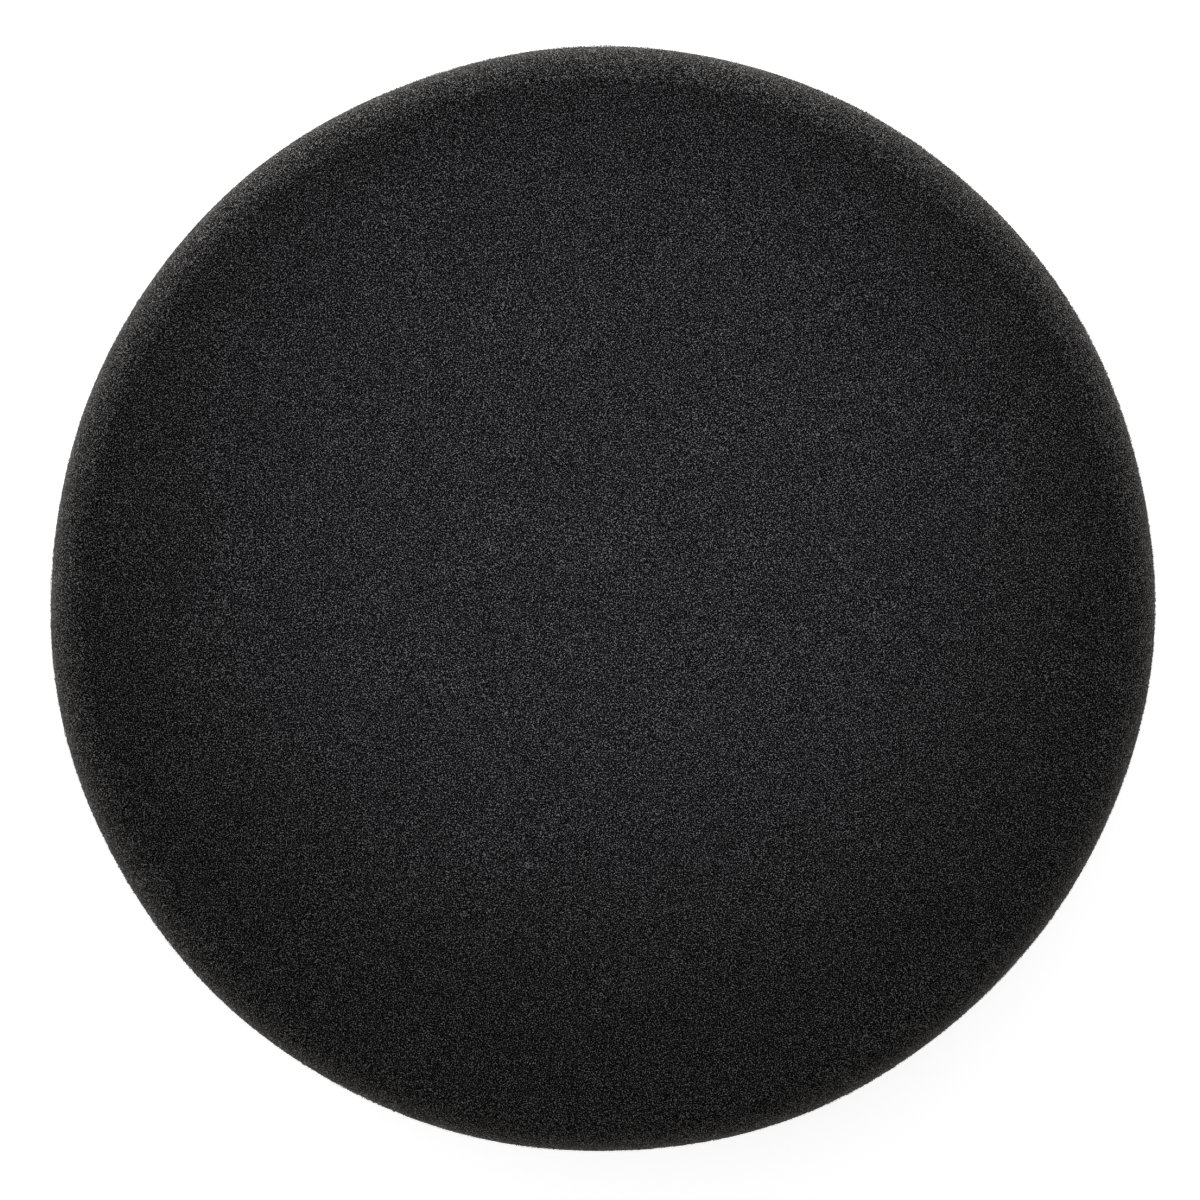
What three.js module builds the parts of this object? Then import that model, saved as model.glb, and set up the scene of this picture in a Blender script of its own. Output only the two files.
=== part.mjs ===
// A foam finishing pad for a car polisher, lying on its loop backing with its working face up.
// Millimetres, +Z up. The origin is at the middle of the underside of the loop backing.

import * as THREE from "three";

// Driving dimensions
const PAD_DIAMETER = 160; // at the widest, where the rounded rim meets the side wall
const PAD_THICKNESS = 30; // loop backing, glue and foam together
const RIM_RADIUS = 6; // rounding between the working face and the side wall
const BACKING_DIAMETER = 150; // the plate size that the pad is sold for
const FOAM_MARGIN = 1; // foam left bare around the backing's cut edge
const BACKING_THICKNESS = 2.2; // knitted ground cloth with its loops standing free
const GLUE_THICKNESS = 0.4; // hot-melt layer between cloth and foam

// Fineness of the round shapes
const TURN_STEPS = 144;
const OUTLINE_STEPS = 6; // an arc takes twice as many

// Heights of the layers, from the bottom up
const GLUE_BOTTOM = BACKING_THICKNESS;
const FOAM_BOTTOM = GLUE_BOTTOM + GLUE_THICKNESS;

/** Turns a profile of radius (x) and height (y), drawn from the bottom up, about the pad's axis. */
function turned(profile) {
  return new THREE.LatheGeometry(profile, TURN_STEPS).rotateX(Math.PI / 2);
}

/** A flat round layer between two heights. */
function layer(diameter, bottom, top) {
  const radius = diameter / 2;
  return turned([
    new THREE.Vector2(0, bottom),
    new THREE.Vector2(radius, bottom),
    new THREE.Vector2(radius, top),
    new THREE.Vector2(0, top),
  ]);
}

/** The foam: a flat back, a side wall that leans out, a rounded rim and a flat working face. */
function foam() {
  const backRadius = BACKING_DIAMETER / 2 + FOAM_MARGIN;
  const arcRadius = PAD_DIAMETER / 2 - RIM_RADIUS;
  const arcHeight = PAD_THICKNESS - RIM_RADIUS;

  // The side wall is the tangent from the back's edge to the rim's arc.
  const outwards = backRadius - arcRadius;
  const downwards = FOAM_BOTTOM - arcHeight;
  const toBackEdge = Math.atan2(downwards, outwards);
  const wallAngle = toBackEdge + Math.acos(RIM_RADIUS / Math.hypot(outwards, downwards));

  const outline = new THREE.Path()
    .moveTo(0, FOAM_BOTTOM)
    .lineTo(backRadius, FOAM_BOTTOM)
    .absarc(arcRadius, arcHeight, RIM_RADIUS, wallAngle, Math.PI / 2, false)
    .lineTo(0, PAD_THICKNESS);
  return turned(outline.getPoints(OUTLINE_STEPS));
}

/** One named sub-part with its own plain material. */
function part(name, geometry, color, roughness) {
  const material = new THREE.MeshStandardMaterial({ color, roughness, metalness: 0 });
  const mesh = new THREE.Mesh(geometry, material);
  mesh.name = name;
  return mesh;
}

const pad = new THREE.Group();
pad.add(
  part("foam_disc", foam(), 0x252525, 0.95),
  part("glue_film", layer(BACKING_DIAMETER, GLUE_BOTTOM, FOAM_BOTTOM), 0x3a3935, 0.45),
  part("loop_backing", layer(BACKING_DIAMETER, 0, GLUE_BOTTOM), 0x4a4a4c, 0.9),
);

export default pad;
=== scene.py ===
"""A black foam finishing pad that lies on its loop backing, seen from straight above on a white table.

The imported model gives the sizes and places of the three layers, and each is rebuilt here as what it is:
cut foam with open cells, a film of hot-melt glue, and knitted loop cloth with its nap of loops.
"""

import math

import bpy
import numpy as np
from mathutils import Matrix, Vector, noise


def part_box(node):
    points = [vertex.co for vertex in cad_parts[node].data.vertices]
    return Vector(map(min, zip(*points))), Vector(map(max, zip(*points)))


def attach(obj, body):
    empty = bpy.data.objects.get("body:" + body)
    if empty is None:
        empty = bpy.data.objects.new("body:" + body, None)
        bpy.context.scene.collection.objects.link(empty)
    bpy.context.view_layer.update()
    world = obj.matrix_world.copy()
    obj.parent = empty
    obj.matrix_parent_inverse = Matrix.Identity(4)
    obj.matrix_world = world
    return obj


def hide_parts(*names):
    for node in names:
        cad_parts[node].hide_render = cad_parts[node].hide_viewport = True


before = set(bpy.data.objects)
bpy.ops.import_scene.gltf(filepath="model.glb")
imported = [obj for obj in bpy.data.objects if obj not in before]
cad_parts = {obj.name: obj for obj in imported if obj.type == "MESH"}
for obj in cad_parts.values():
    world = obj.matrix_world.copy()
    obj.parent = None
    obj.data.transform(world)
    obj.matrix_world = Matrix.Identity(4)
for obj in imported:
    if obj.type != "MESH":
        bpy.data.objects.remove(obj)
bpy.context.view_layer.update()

MM = 0.001

# The layers, from the frame
foam_low, foam_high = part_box("foam_disc")
glue_low, glue_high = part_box("glue_film")
cloth_low, cloth_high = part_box("loop_backing")
PAD_RADIUS = foam_high.x
BACKING_RADIUS = cloth_high.x

# Foam
RIM_RADIUS = 6 * MM  # rounding between the working face and the side wall
FLAT_RADIUS = PAD_RADIUS - RIM_RADIUS  # where the flat face ends and the rounding starts
RIM_HEIGHT = foam_high.z - RIM_RADIUS  # height of the rounding's centre, where the pad is widest
FOAM_BACK_RADIUS = BACKING_RADIUS + 1 * MM  # 1 mm of foam is left bare around the backing
FOAM_RINGS = 122  # rings of points on the working face, about 0.6 mm apart
ARC_ROWS = 17  # rows of points round the rim
WALL_ROWS = 34  # rows of points down the side wall
CELL = 0.17 * MM  # the finest strut tips, on the shaved face
TORN_CELL = 0.5 * MM  # the cells that grinding has torn wider, on the rim and wall
SWELL = 0.05 * MM  # height of the slow swells that the cutting wire leaves
LUMP = 0.06 * MM  # height of the lumps on ground foam
DIP = 0.1 * MM  # depth of the dips where cells are torn out
SMOOTH_SHARE = 0.35  # how uneven the shaved face is, beside the ground rim

# Broken struts that stand up from the rim and wall
STRUTS = 45000
STRUT_ROOT = 0.1 * MM  # how deep a strut's foot is sunk in the foam
STRUT_REACH = (0.08 * MM, 0.35 * MM)
STRUT_WIDTH = (0.035 * MM, 0.065 * MM)  # from the middle of its foot to a corner
STRUT_LEAN = 0.45
WALL_STRUTS = 0.35  # the wall is ground less than the rim, and has this share of the rim's struts

# Glue
GLUE_AROUND = 600
GLUE_ROWS = 6
GLUE_BEAD = 0.35 * MM  # how far the glue that squeezed out stands proud, on average half of it

# Loop cloth
GROUND_THICKNESS = 1.45 * MM
CLOTH_RINGS = 90
RIB_DEPTH = 0.15 * MM  # how far the ground cloth sinks between its ribs
CLOTH_LUMP = 0.3 * MM
FRAY = 0.18 * MM  # how far the cloth's cut edge strays
LOOP_SPACING = 1.8 * MM
EDGE_RINGS = 3  # rings of closer loops along the cut edge
EDGE_SPACING = 0.9 * MM
LOOP_RADIUS = 0.11 * MM  # half the thickness of a loop, which is a bundle of filaments
LOOP_ROOT = 0.25 * MM  # how deep a loop's feet are sunk in the ground cloth
LOOP_WIDTH = (0.7 * MM, 1.3 * MM)  # between a loop's feet
LOOP_LEAN = 0.3 * MM
LOOP_STEPS = 4  # straight stretches along one loop
LOOP_SIDES = 3
WALE = 1.25 * MM  # from one rib of the knitting to the next

# Camera and light
TABLE_REACH = 20  # metres
TABLE_GLOW = 0.76
BACK_WALL = 12.0  # strength at the foot of the lit wall
BEHIND = (-0.37, 0.93, 0)  # the direction in which that wall stands
CEILING = 0.68
POOL = 7.4  # watts
POOL_PLACE = (0, 16 * MM, 600 * MM)
POOL_ANGLE = math.radians(16.5)
POOL_LAMP = 10 * MM  # radius of the lamp
LENS = 100
FILL = 0.9205  # share of the picture's width that the pad spans
PAD_ASIDE = Vector((0.34 * MM, 0.13 * MM, 0))  # the pad lies right of and above the picture's middle


class Skin:
    """Points and faces of one closed body that is mostly round, built ring by ring."""

    def __init__(self):
        self.points = []
        self.faces = []

    def ring(self, radius, height, around):
        """A level circle of points. Gives their indices."""
        first = len(self.points)
        for i in range(around):
            angle = 2 * math.pi * i / around
            self.points.append((radius * math.cos(angle), radius * math.sin(angle), height))
        return list(range(first, first + around))

    def bridge(self, upper, lower):
        """Quads between two rings of the same count, facing outwards."""
        around = len(upper)
        for i in range(around):
            j = (i + 1) % around
            self.faces.append((upper[i], lower[i], lower[j], upper[j]))

    def fan(self, ring, height, facing_up):
        """A flat cap from a ring to the axis."""
        centre = len(self.points)
        self.points.append((0.0, 0.0, height))
        around = len(ring)
        for i in range(around):
            j = (i + 1) % around
            self.faces.append((ring[i], ring[j], centre) if facing_up else (ring[j], ring[i], centre))

    def cap(self, radius, height, rings, facing_up):
        """A flat cap of even triangles, in rings of 6, 12, 18 and so on. Gives its outermost ring."""
        inner = [len(self.points)]
        self.points.append((0.0, 0.0, height))
        for k in range(1, rings + 1):
            outer = self.ring(radius * k / rings, height, 6 * k)
            for sector in range(6):
                for j in range(k):
                    a = outer[sector * k + j]
                    b = outer[(sector * k + j + 1) % len(outer)]
                    c = inner[(sector * (k - 1) + j) % len(inner)]
                    self.triangle(a, b, c, facing_up)
                    if j < k - 1:
                        d = inner[(sector * (k - 1) + j + 1) % len(inner)]
                        self.triangle(c, b, d, facing_up)
            inner = outer
        return inner

    def triangle(self, a, b, c, facing_up):
        self.faces.append((a, b, c) if facing_up else (c, b, a))

    def piece(self, name, material, move=None):
        """The body as a shaded object. move(point, normal) gives a point's finished place."""
        mesh = bpy.data.meshes.new(name)
        mesh.from_pydata(self.points, [], self.faces)
        mesh.update()
        if move:
            normals = [v.normal.copy() for v in mesh.vertices]
            for vertex, normal in zip(mesh.vertices, normals):
                vertex.co = move(vertex.co, normal)
            mesh.update()
        mesh.shade_smooth()
        mesh.materials.append(material)
        made = bpy.data.objects.new(name, mesh)
        bpy.context.scene.collection.objects.link(made)
        return made


class Nodes:
    """A node tree, with a short way to add a node and wire its inputs."""

    def __init__(self, tree):
        self.tree = tree

    def add(self, kind, inputs=None, **settings):
        node = self.tree.nodes.new("ShaderNode" + kind)
        for key, value in settings.items():
            setattr(node, key, value)
        self.wire(node, inputs or {})
        return node

    def wire(self, node, inputs):
        for key, value in inputs.items():
            if isinstance(value, bpy.types.NodeSocket):
                self.tree.links.new(value, node.inputs[key])
            else:
                node.inputs[key].default_value = value

    def sums(self, operation, a, b=0.0):
        return self.add("Math", {0: a, 1: b}, operation=operation).outputs[0]

    def between(self, value, low, high, to_low=0.0, to_high=1.0):
        """value brought from low..high to to_low..to_high, and no further."""
        inputs = {"Value": value, "From Min": low, "From Max": high, "To Min": to_low, "To Max": to_high}
        return self.add("MapRange", inputs).outputs[0]


class Shader(Nodes):
    """A material of one Principled shader, with the patterns that the pad's materials share."""

    def __init__(self, name):
        self.material = bpy.data.materials.new(name)
        self.material.use_nodes = True
        super().__init__(self.material.node_tree)
        self.principled = self.tree.nodes["Principled BSDF"]
        self.place = self.add("TexCoord").outputs["Object"]

    def noise(self, size, detail=2.0, roughness=0.5):
        """Soft noise with lumps of about that size, around 0.5."""
        inputs = {"Vector": self.place, "Scale": 1 / size, "Detail": detail, "Roughness": roughness}
        return self.add("TexNoise", inputs).outputs["Fac"]

    def mixed(self, share, a, b):
        """Colour a where share is 0 and colour b where it is 1."""
        return self.add("Mix", {0: share, 6: a, 7: b}, data_type="RGBA").outputs[2]

    def pores(self, size):
        """Cut open cells of about that size, from 0 at the bottom of a pore to 1 on a strut."""
        cell = {"Vector": self.place, "Scale": 1 / size}
        distance = self.add("TexVoronoi", cell, feature="F1").outputs["Distance"]
        return self.between(distance, 0.2, 0.8)

    def bump(self, height, distance, strength):
        return self.add("Bump", {"Height": height, "Distance": distance, "Strength": strength}).outputs[0]

    def finish(self, **inputs):
        """Sets the shader's own sockets, whose names have their spaces written as underscores."""
        self.wire(self.principled, {key.replace("_", " "): value for key, value in inputs.items()})
        return self.material


def foam_material():
    """Open-cell black foam: dark pores between struts that catch the light, torn wider by grinding. The
    pores' near-black is painted shade, and the rim and wall are lightened with a painted sheen.
    """
    s = Shader("open_cell_foam")
    parts = s.add("SeparateXYZ", {"Vector": s.place}).outputs
    flat_place = s.add("CombineXYZ", {"X": parts["X"], "Y": parts["Y"], "Z": 0.0}).outputs[0]
    radius = s.add("VectorMath", {0: flat_place}, operation="LENGTH").outputs["Value"]

    # Shares from 0 on the shaved face to 1: how ground the foam is, and how strong the painted sheen is
    # that lightens and warms the colour of the rim and wall, beside their paler torn struts
    over_rim = s.between(radius, PAD_RADIUS - 8 * MM, PAD_RADIUS - 0.3 * MM)
    down_wall = s.between(parts["Z"], foam_high.z - 1 * MM, foam_high.z - 5.5 * MM)
    ground = s.sums("MAXIMUM", over_rim, down_wall)
    above_wall = s.between(parts["Z"], foam_high.z - 12 * MM, foam_high.z - 7 * MM)
    rim_painted_sheen = s.sums("MULTIPLY", s.sums("POWER", over_rim, 3.0), above_wall)
    fuzz_and_painted_sheen = s.sums("MAXIMUM", rim_painted_sheen, s.sums("MULTIPLY", down_wall, 0.33))

    strut = s.pores(CELL)
    gap = s.between(s.pores(TORN_CELL), 0.25, 0.8)
    torn = s.mixed(s.sums("POWER", ground, 3.0), (1, 1, 1, 1), gap)
    patches = s.between(s.noise(7 * MM, detail=3.0), 0.3, 0.7, 0.96, 1.04)
    # Painted sheen: the strut tips grow up to 3.5 times lighter towards the rim's edge, and less down the
    # wall, standing for the light that grazing fuzz catches
    lit = s.sums("MULTIPLY", patches, s.between(fuzz_and_painted_sheen, 0.0, 1.0, 1.0, 3.5))
    bright = s.sums("MULTIPLY", s.sums("POWER", strut, 5.0), s.sums("MULTIPLY", lit, torn))
    # Where the painted sheen is, the tips also turn lighter and warmer
    tips_with_painted_sheen = s.mixed(fuzz_and_painted_sheen, (0.157, 0.155, 0.156, 1), (0.22, 0.208, 0.197, 1))
    # Painted shade: the near-black pores stand for the shade down inside the open cells
    colour = s.mixed(bright, (0.0003, 0.0003, 0.0003, 1), tips_with_painted_sheen)

    return s.finish(
        Base_Color=colour,
        Roughness=s.between(strut, 0.0, 1.0, 1.0, 0.8),
        Normal=s.bump(strut, 0.1 * MM, 0.5),
        Specular_IOR_Level=0.02,
        Sheen_Weight=0.2,
        Sheen_Roughness=0.3,
        Sheen_Tint=(1.0, 0.96, 0.92, 1),
    )


def strut_material():
    """The broken struts' own polymer, lighter than the foam because nothing shades it."""
    s = Shader("torn_strut")
    tone = s.noise(0.5 * MM)
    return s.finish(
        Base_Color=s.mixed(s.between(tone, 0.35, 0.65), (0.012, 0.0115, 0.011, 1), (0.2, 0.191, 0.182, 1)),
        Roughness=s.between(tone, 0.35, 0.65, 0.9, 0.6),
        Specular_IOR_Level=0.2,
        Sheen_Weight=0.3,
        Sheen_Roughness=0.3,
        Sheen_Tint=(1.0, 0.96, 0.92, 1),
    )


def glue_material():
    """Hot-melt glue: a cloudy grey-brown film, smooth where it set in the open."""
    s = Shader("hot_melt_glue")
    clouds = s.noise(2.5 * MM, detail=4.0)
    colour = s.mixed(s.between(clouds, 0.3, 0.7), (0.05, 0.045, 0.038, 1), (0.12, 0.11, 0.095, 1))
    return s.finish(
        Base_Color=colour,
        Roughness=s.between(clouds, 0.3, 0.7, 0.28, 0.5),
        Normal=s.bump(s.noise(0.7 * MM), 0.1 * MM, 0.5),
    )


def knit(s):
    """The ribs and stitches of a warp-knitted ground cloth, as a height from 0 to 1."""
    parts = s.add("SeparateXYZ", {"Vector": s.place})
    across = s.sums("MULTIPLY", parts.outputs["X"], math.pi / WALE)
    rib = s.sums("ABSOLUTE", s.sums("SINE", across))
    along = s.sums("MULTIPLY", parts.outputs["Y"], 2 * math.pi / (0.8 * WALE))
    sway = s.sums("MULTIPLY", s.sums("COSINE", s.sums("MULTIPLY", across, 2.0)), math.pi / 2)
    stitch = s.between(s.sums("SINE", s.sums("ADD", along, sway)), -1.0, 1.0)
    return s.sums("MULTIPLY", rib, s.between(stitch, 0.0, 1.0, 0.45, 1.0))


def ground_material():
    """Knitted nylon ground cloth of the loop backing, with painted shade between its ribs."""
    s = Shader("knitted_ground")
    ribs = knit(s)
    fuzz = s.noise(0.25 * MM, detail=3.0, roughness=0.7)
    # Painted shade: the cloth is darker down between its ribs and stitches, and lighter on their tops
    light = s.sums("MULTIPLY", ribs, s.between(fuzz, 0.3, 0.7, 0.6, 1.0))
    colour = s.mixed(light, (0.012, 0.012, 0.013, 1), (0.075, 0.075, 0.08, 1))
    height = s.sums("ADD", ribs, s.sums("MULTIPLY", fuzz, 0.3))
    return s.finish(
        Base_Color=colour,
        Roughness=s.between(fuzz, 0.3, 0.7, 0.95, 0.75),
        Normal=s.bump(height, 0.25 * MM, 0.8),
        Sheen_Weight=0.3,
        Sheen_Roughness=0.4,
    )


def loop_material():
    """Brushed nylon filaments of the nap."""
    s = Shader("nylon_loops")
    streaks = s.noise(0.12 * MM, roughness=0.6)
    tufts = s.noise(4 * MM)
    light = s.sums("MULTIPLY", s.between(streaks, 0.3, 0.7, 0.4, 1.0), s.between(tufts, 0.3, 0.7, 0.7, 1.0))
    colour = s.mixed(light, (0.018, 0.018, 0.02, 1), (0.13, 0.13, 0.14, 1))
    return s.finish(
        Base_Color=colour,
        Roughness=s.between(streaks, 0.3, 0.7, 0.75, 0.5),
        Normal=s.bump(streaks, 0.05 * MM, 0.5),
        Sheen_Weight=0.4,
        Sheen_Roughness=0.35,
    )


def foam_outline():
    """Radius and height of each row outside the flat face: round the rim, then straight down the wall."""
    outwards, downwards = FOAM_BACK_RADIUS - FLAT_RADIUS, foam_low.z - RIM_HEIGHT
    wall_angle = math.atan2(downwards, outwards) + math.acos(RIM_RADIUS / math.hypot(outwards, downwards))
    outline = []
    for i in range(1, ARC_ROWS + 1):
        angle = math.pi / 2 + (wall_angle - math.pi / 2) * i / ARC_ROWS
        radius = FLAT_RADIUS + RIM_RADIUS * math.cos(angle)
        outline.append((radius, RIM_HEIGHT + RIM_RADIUS * math.sin(angle)))
    top_radius, top_height = outline[-1]
    for i in range(1, WALL_ROWS + 1):
        share = i / WALL_ROWS
        radius = top_radius + (FOAM_BACK_RADIUS - top_radius) * share
        outline.append((radius, top_height + (foam_low.z - top_height) * share))
    return outline


def cut_wobble(point):
    """How far the cut edge strays outwards round the pad: a little oval, with slow waves."""
    angle = math.atan2(point.y, point.x)
    stray = 0.13 * math.sin(2 * angle - 0.1)
    stray += 0.07 * math.sin(5 * angle + 2.2)
    stray += 0.08 * math.sin(7 * angle + 3.3)
    stray += 0.07 * math.sin(11 * angle + 2.4)
    return stray * MM


def foam_surface(point, normal):
    """Where a point of the ideal outline lies on the cut foam, with its swells, lumps and torn cells."""
    if point.z < foam_low.z + 0.1 * MM:  # the glued back is flat
        return point
    radius = math.hypot(point.x, point.y)
    over_rim = (radius - FLAT_RADIUS) / RIM_RADIUS
    edge = min(1.0, max(0.0, over_rim))
    # The flat face is shaved smooth, and the rim and wall are ground rougher
    rough = SMOOTH_SHARE + (1 - SMOOTH_SHARE) * min(1.0, max(0.0, 2 * over_rim))
    away = SWELL * noise.noise(point / (16 * MM))
    away += LUMP * rough * noise.noise(point / (1.4 * MM))
    away += DIP * rough * min(0.0, noise.noise(point / (1.1 * MM) + Vector((7, 3, 5))) + 0.15)
    outwards = Vector((point.x, point.y, 0)) / max(radius, MM)
    return point + normal * away + outwards * edge * cut_wobble(point)


def make_foam():
    """The whole disc of foam as one closed skin: face, rim, wall and back."""
    skin = Skin()
    row = skin.cap(FLAT_RADIUS, foam_high.z, FOAM_RINGS, facing_up=True)
    for radius, height in foam_outline():
        lower = skin.ring(radius, height, len(row))
        skin.bridge(row, lower)
        row = lower
    skin.fan(row, foam_low.z, facing_up=False)
    return skin.piece("working_foam", foam_material(), foam_surface)


def make_struts():
    """Broken struts of torn cells, which give the ground rim and wall their fuzz, as slender spikes."""
    rng = np.random.default_rng(5)
    outline = np.array(foam_outline())
    runs = np.diff(outline, axis=0)
    lengths = np.linalg.norm(runs, axis=1)
    crowding = lengths * outline[:-1, 0]  # as the area that each stretch covers round the axis
    crowding[ARC_ROWS:] *= WALL_STRUTS
    stretch = rng.choice(len(runs), STRUTS, p=crowding / crowding.sum())
    radius, height = (outline[stretch] + rng.uniform(0, 1, (STRUTS, 1)) * runs[stretch]).T
    outwards, upwards = (runs[stretch] * (-1, 1)).T[::-1] / lengths[stretch]
    angle = rng.uniform(0, 2 * math.pi, STRUTS)
    places = np.stack([radius * np.cos(angle), radius * np.sin(angle), height], 1)
    normals = np.stack([outwards * np.cos(angle), outwards * np.sin(angle), upwards], 1)
    feet = np.array([foam_surface(Vector(p), Vector(n)) for p, n in zip(places, normals)])

    lean = normals + rng.normal(0, STRUT_LEAN, (STRUTS, 3))
    lean /= np.linalg.norm(lean, axis=1, keepdims=True)
    across = np.cross(lean, rng.normal(0, 1, (STRUTS, 3)))
    across /= np.linalg.norm(across, axis=1, keepdims=True)
    other = np.cross(lean, across)
    width = rng.uniform(*STRUT_WIDTH, (STRUTS, 1))
    corners = [feet + lean * rng.uniform(*STRUT_REACH, (STRUTS, 1))]
    for turn in (0, 2 * math.pi / 3, 4 * math.pi / 3):
        sideways = across * math.cos(turn) + other * math.sin(turn)
        corners.append(feet - lean * STRUT_ROOT + width * sideways)
    skin = Skin()
    skin.points = np.stack(corners, 1).reshape(-1, 3).tolist()
    for tip in range(0, 4 * STRUTS, 4):
        a, b, c = tip + 1, tip + 2, tip + 3
        skin.faces += [(tip, a, b), (tip, b, c), (tip, c, a), (c, b, a)]
    return skin.piece("torn_struts", strut_material())


def make_glue():
    """The film, with the bead that squeezed out and set round its edge."""
    skin = Skin()
    middle, half = (glue_low.z + glue_high.z) / 2, (glue_high.z - glue_low.z) / 2
    upper = None
    for i in range(GLUE_ROWS + 1):
        angle = math.pi / 2 - math.pi * i / GLUE_ROWS
        radius = BACKING_RADIUS - half + half * math.cos(angle)
        lower = skin.ring(radius, middle + half * math.sin(angle), GLUE_AROUND)
        if upper is None:
            skin.fan(lower, glue_high.z, facing_up=True)
        else:
            skin.bridge(upper, lower)
        upper = lower
    skin.fan(upper, glue_low.z, facing_up=False)

    def squeezed(point, normal):
        across = Vector((point.x, point.y, 0))
        if across.length < BACKING_RADIUS - half - 0.002 * MM:  # the film itself, inside the bead
            return point
        bulge = 0.5 + noise.noise(across / (3 * MM))
        slant = math.asin(0.999 * (point.z - middle) / half)  # 0.999 keeps rounding errors in range
        return point + across.normalized() * (GLUE_BEAD * bulge * math.cos(slant))

    return skin.piece("glue_line", glue_material(), squeezed)


def ground_surface(point, normal):
    """The ground cloth's underside sinks between its ribs, and its cut edge frays a little."""
    radius = math.hypot(point.x, point.y)
    if point.z > cloth_high.z - 0.1 * MM:
        return point
    ribs = abs(math.sin(math.pi * point.x / WALE))
    lift = RIB_DEPTH * (1 - ribs) + CLOTH_LUMP * noise.noise(point / (1.5 * MM))
    edge = min(1.0, max(0.0, (radius - BACKING_RADIUS + 2 * MM) / (2 * MM)))
    stray = FRAY * edge * noise.noise(point / (0.9 * MM))
    return point + Vector((0, 0, lift)) + Vector((point.x, point.y, 0)) / max(radius, MM) * stray


def make_ground():
    """The ground cloth as one closed skin, with its ribbed side down."""
    skin = Skin()
    bottom = cloth_high.z - GROUND_THICKNESS
    rim = skin.cap(BACKING_RADIUS, bottom, CLOTH_RINGS, facing_up=False)
    middle = skin.ring(BACKING_RADIUS + 0.05 * MM, (bottom + cloth_high.z) / 2, len(rim))
    upper = skin.ring(BACKING_RADIUS, cloth_high.z, len(rim))
    skin.bridge(middle, rim)
    skin.bridge(upper, middle)
    skin.fan(upper, cloth_high.z, facing_up=True)
    return skin.piece("loop_ground", ground_material(), ground_surface)


def loop_spots(rng):
    """Where loops are rooted: rows over the cloth, and closer rings along its edge, all a bit astray."""
    step = LOOP_SPACING * math.sqrt(3) / 2
    reach = int(BACKING_RADIUS / step) + 1
    rows, columns = np.mgrid[-reach:reach + 1, -reach:reach + 1]
    inner = np.stack([(columns + 0.5 * (rows % 2)) * LOOP_SPACING, rows * step], 2).reshape(-1, 2)
    inner += rng.uniform(-0.3, 0.3, inner.shape) * LOOP_SPACING
    inner = inner[np.hypot(*inner.T) < BACKING_RADIUS - EDGE_RINGS * EDGE_SPACING - 0.3 * MM]
    spots = [inner]
    for ring in range(EDGE_RINGS):
        radius = BACKING_RADIUS - 0.4 * MM - ring * EDGE_SPACING
        count = int(2 * math.pi * radius / EDGE_SPACING)
        angle = 2 * math.pi * (np.arange(count) + rng.uniform(-0.4, 0.4, count)) / count
        radii = radius + rng.uniform(-0.3, 0.3, count) * EDGE_SPACING
        spots.append(np.stack([radii * np.cos(angle), radii * np.sin(angle)], 1))
    return np.concatenate(spots)


def make_nap():
    """The loops that the hook plate grips: arches of filament under the ground cloth, leaning about."""
    rng = np.random.default_rng(11)
    spots = loop_spots(rng)
    count = len(spots)

    root_height = cloth_high.z - GROUND_THICKNESS + LOOP_ROOT
    reach = root_height - cloth_low.z - LOOP_RADIUS
    turn = rng.uniform(0, 2 * math.pi, count)
    half_width = rng.uniform(*LOOP_WIDTH, count) / 2
    height = rng.uniform(0.6, 1.0, count) * reach
    lean = rng.normal(0, LOOP_LEAN, count)

    share = np.linspace(0, math.pi, LOOP_STEPS + 1)
    along = np.stack([np.cos(turn), np.sin(turn), np.zeros(count)], 1)
    aside = np.stack([-np.sin(turn), np.cos(turn), np.zeros(count)], 1)
    down = np.array([0, 0, -1.0])
    path = (
        np.concatenate([spots, np.full((count, 1), root_height)], 1)[:, None]
        + along[:, None] * (half_width[:, None] * np.cos(share))[..., None]
        + down * (height[:, None] * np.sin(share))[..., None]
        + aside[:, None] * (lean[:, None] * np.sin(share))[..., None]
    )
    ahead = np.gradient(path, axis=1)
    ahead /= np.linalg.norm(ahead, axis=2, keepdims=True)
    side = np.cross(ahead, aside[:, None])
    side /= np.linalg.norm(side, axis=2, keepdims=True)
    other = np.cross(ahead, side)

    around = 2 * math.pi * np.arange(LOOP_SIDES) / LOOP_SIDES
    points = (
        path[:, :, None]
        + LOOP_RADIUS * np.cos(around)[:, None] * side[:, :, None]
        + LOOP_RADIUS * np.sin(around)[:, None] * other[:, :, None]
    ).reshape(-1, 3)
    skin = Skin()
    skin.points = points.tolist()
    for first in range(0, len(points), (LOOP_STEPS + 1) * LOOP_SIDES):
        last = first + LOOP_STEPS * LOOP_SIDES
        for row in range(first, last, LOOP_SIDES):
            for k in range(LOOP_SIDES):
                a, b = row + k, row + (k + 1) % LOOP_SIDES
                skin.faces.append((a, b, b + LOOP_SIDES, a + LOOP_SIDES))
        skin.faces.append(tuple(first + k for k in reversed(range(LOOP_SIDES))))
        skin.faces.append(tuple(last + k for k in range(LOOP_SIDES)))
    return skin.piece("loop_nap", loop_material())


def make_table():
    """A wide white table that glows a little, as a lit product table does."""
    mesh = bpy.data.meshes.new("table")
    corners = [(x * TABLE_REACH, y * TABLE_REACH, 0) for x, y in ((-1, -1), (1, -1), (1, 1), (-1, 1))]
    mesh.from_pydata(corners, [], [(0, 1, 2, 3)])
    material = Shader("white_table").finish(
        Base_Color=(0.8, 0.8, 0.8, 1),
        Roughness=1.0,
        Specular_IOR_Level=0.0,
        Emission_Color=(1, 1, 1, 1),
        Emission_Strength=TABLE_GLOW,
    )
    mesh.materials.append(material)
    table = bpy.data.objects.new("table", mesh)
    bpy.context.scene.collection.objects.link(table)


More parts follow.
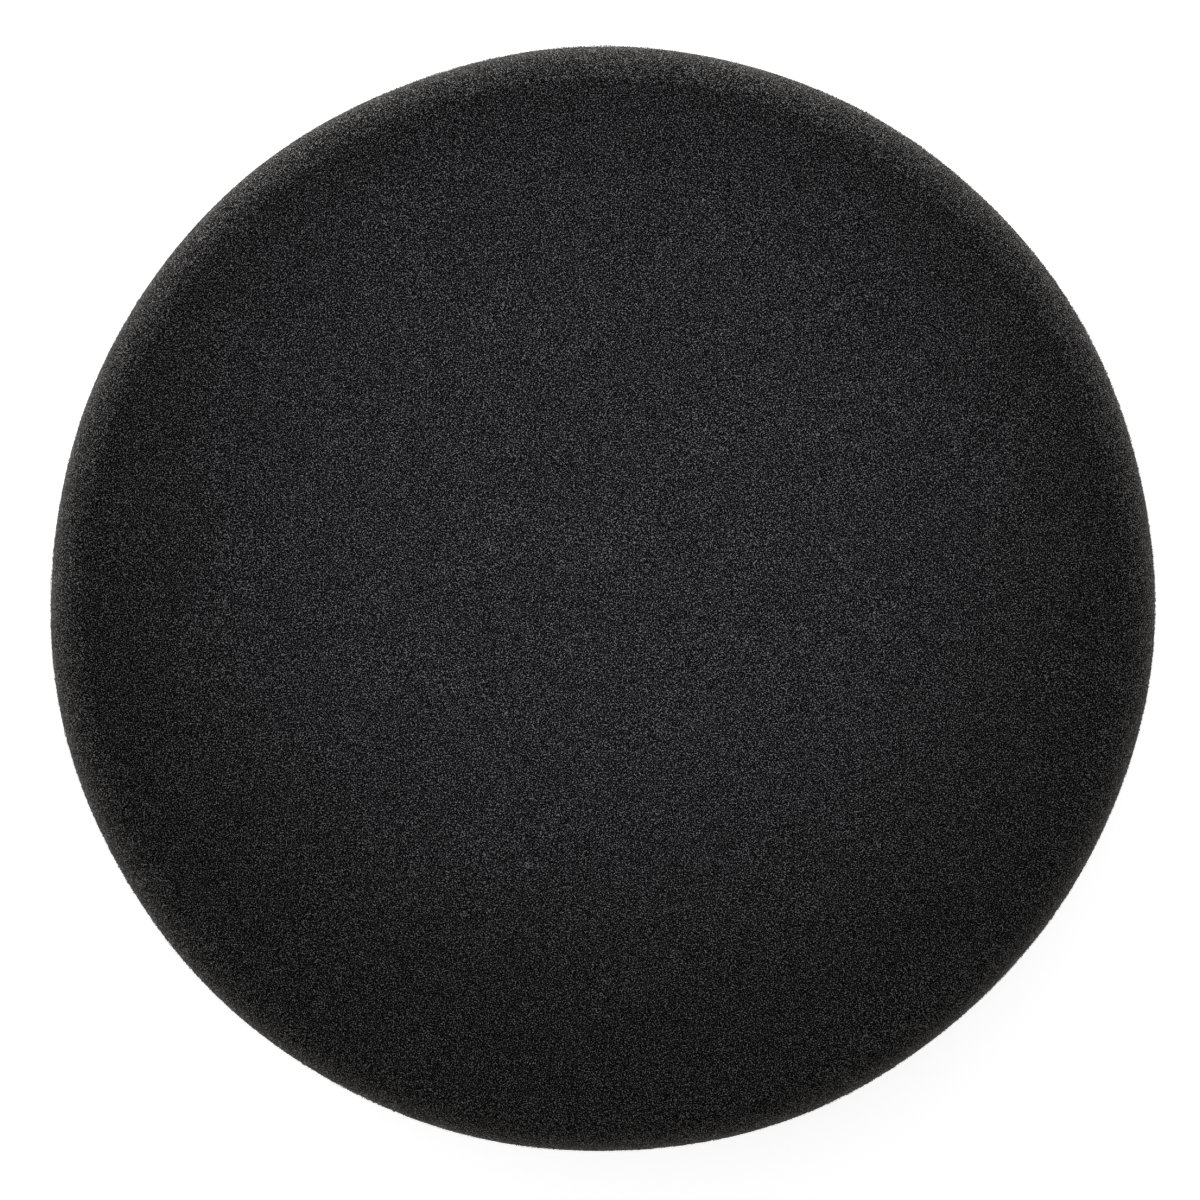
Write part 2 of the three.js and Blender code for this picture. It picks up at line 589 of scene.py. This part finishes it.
def light_surround():
    """The studio: a soft wall of light behind the pad and a soft ceiling, which both look plain white."""
    world = bpy.data.worlds.new("surround")
    bpy.context.scene.world = world
    world.use_nodes = True
    n = Nodes(world.node_tree)
    direction = n.add("TexCoord").outputs["Generated"]
    height = n.add("SeparateXYZ", {0: direction}).outputs["Z"]
    behind = n.add("VectorMath", {0: direction, 1: BEHIND}, operation="DOT_PRODUCT").outputs["Value"]
    low_down = n.between(height, 0.0, 0.5, BACK_WALL, 0.0)
    wall = n.sums("MULTIPLY", low_down, n.between(behind, 0.0, 1.0))
    ceiling = n.between(height, 0.3, 1.0, 0.0, CEILING)
    light = n.add("Background", {"Strength": n.sums("ADD", wall, ceiling)})
    seen = n.add("Background", {"Color": (1, 1, 1, 1)})
    sees = n.add("LightPath").outputs["Is Camera Ray"]
    both = n.add("MixShader", {0: sees, 1: light.outputs[0], 2: seen.outputs[0]})
    n.wire(n.tree.nodes["World Output"], {"Surface": both.outputs[0]})


def light_pool():
    """A gentle pool of light on the working face, from straight above."""
    data = bpy.data.lights.new("pool", "SPOT")
    data.energy = POOL
    data.color = (0.97, 0.97, 1.12)
    data.spot_size = POOL_ANGLE
    data.spot_blend = 1.0
    data.shadow_soft_size = POOL_LAMP
    pool = bpy.data.objects.new("pool", data)
    pool.location = POOL_PLACE
    bpy.context.scene.collection.objects.link(pool)


def place_camera():
    """Straight above, at the height from which the rim's rounding just fills its share of the view."""
    data = bpy.data.cameras.new("camera")
    data.lens = LENS
    camera = bpy.data.objects.new("camera", data)
    slope = FILL * data.sensor_width / 2 / LENS
    height = RIM_HEIGHT + (FLAT_RADIUS + RIM_RADIUS * math.hypot(1, slope)) / slope
    camera.location = Vector((0, 0, height)) - PAD_ASIDE
    bpy.context.scene.collection.objects.link(camera)
    bpy.context.scene.camera = camera


foam = make_foam()
struts = make_struts()
glue = make_glue()
ground = make_ground()
nap = make_nap()

for piece in (foam, struts, glue, ground, nap):
    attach(piece, "root")

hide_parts("foam_disc")
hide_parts("glue_film")
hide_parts("loop_backing")

make_table()
light_surround()
light_pool()
place_camera()

scene = bpy.context.scene
scene.view_settings.view_transform = "Standard"
scene.view_settings.look = "None"
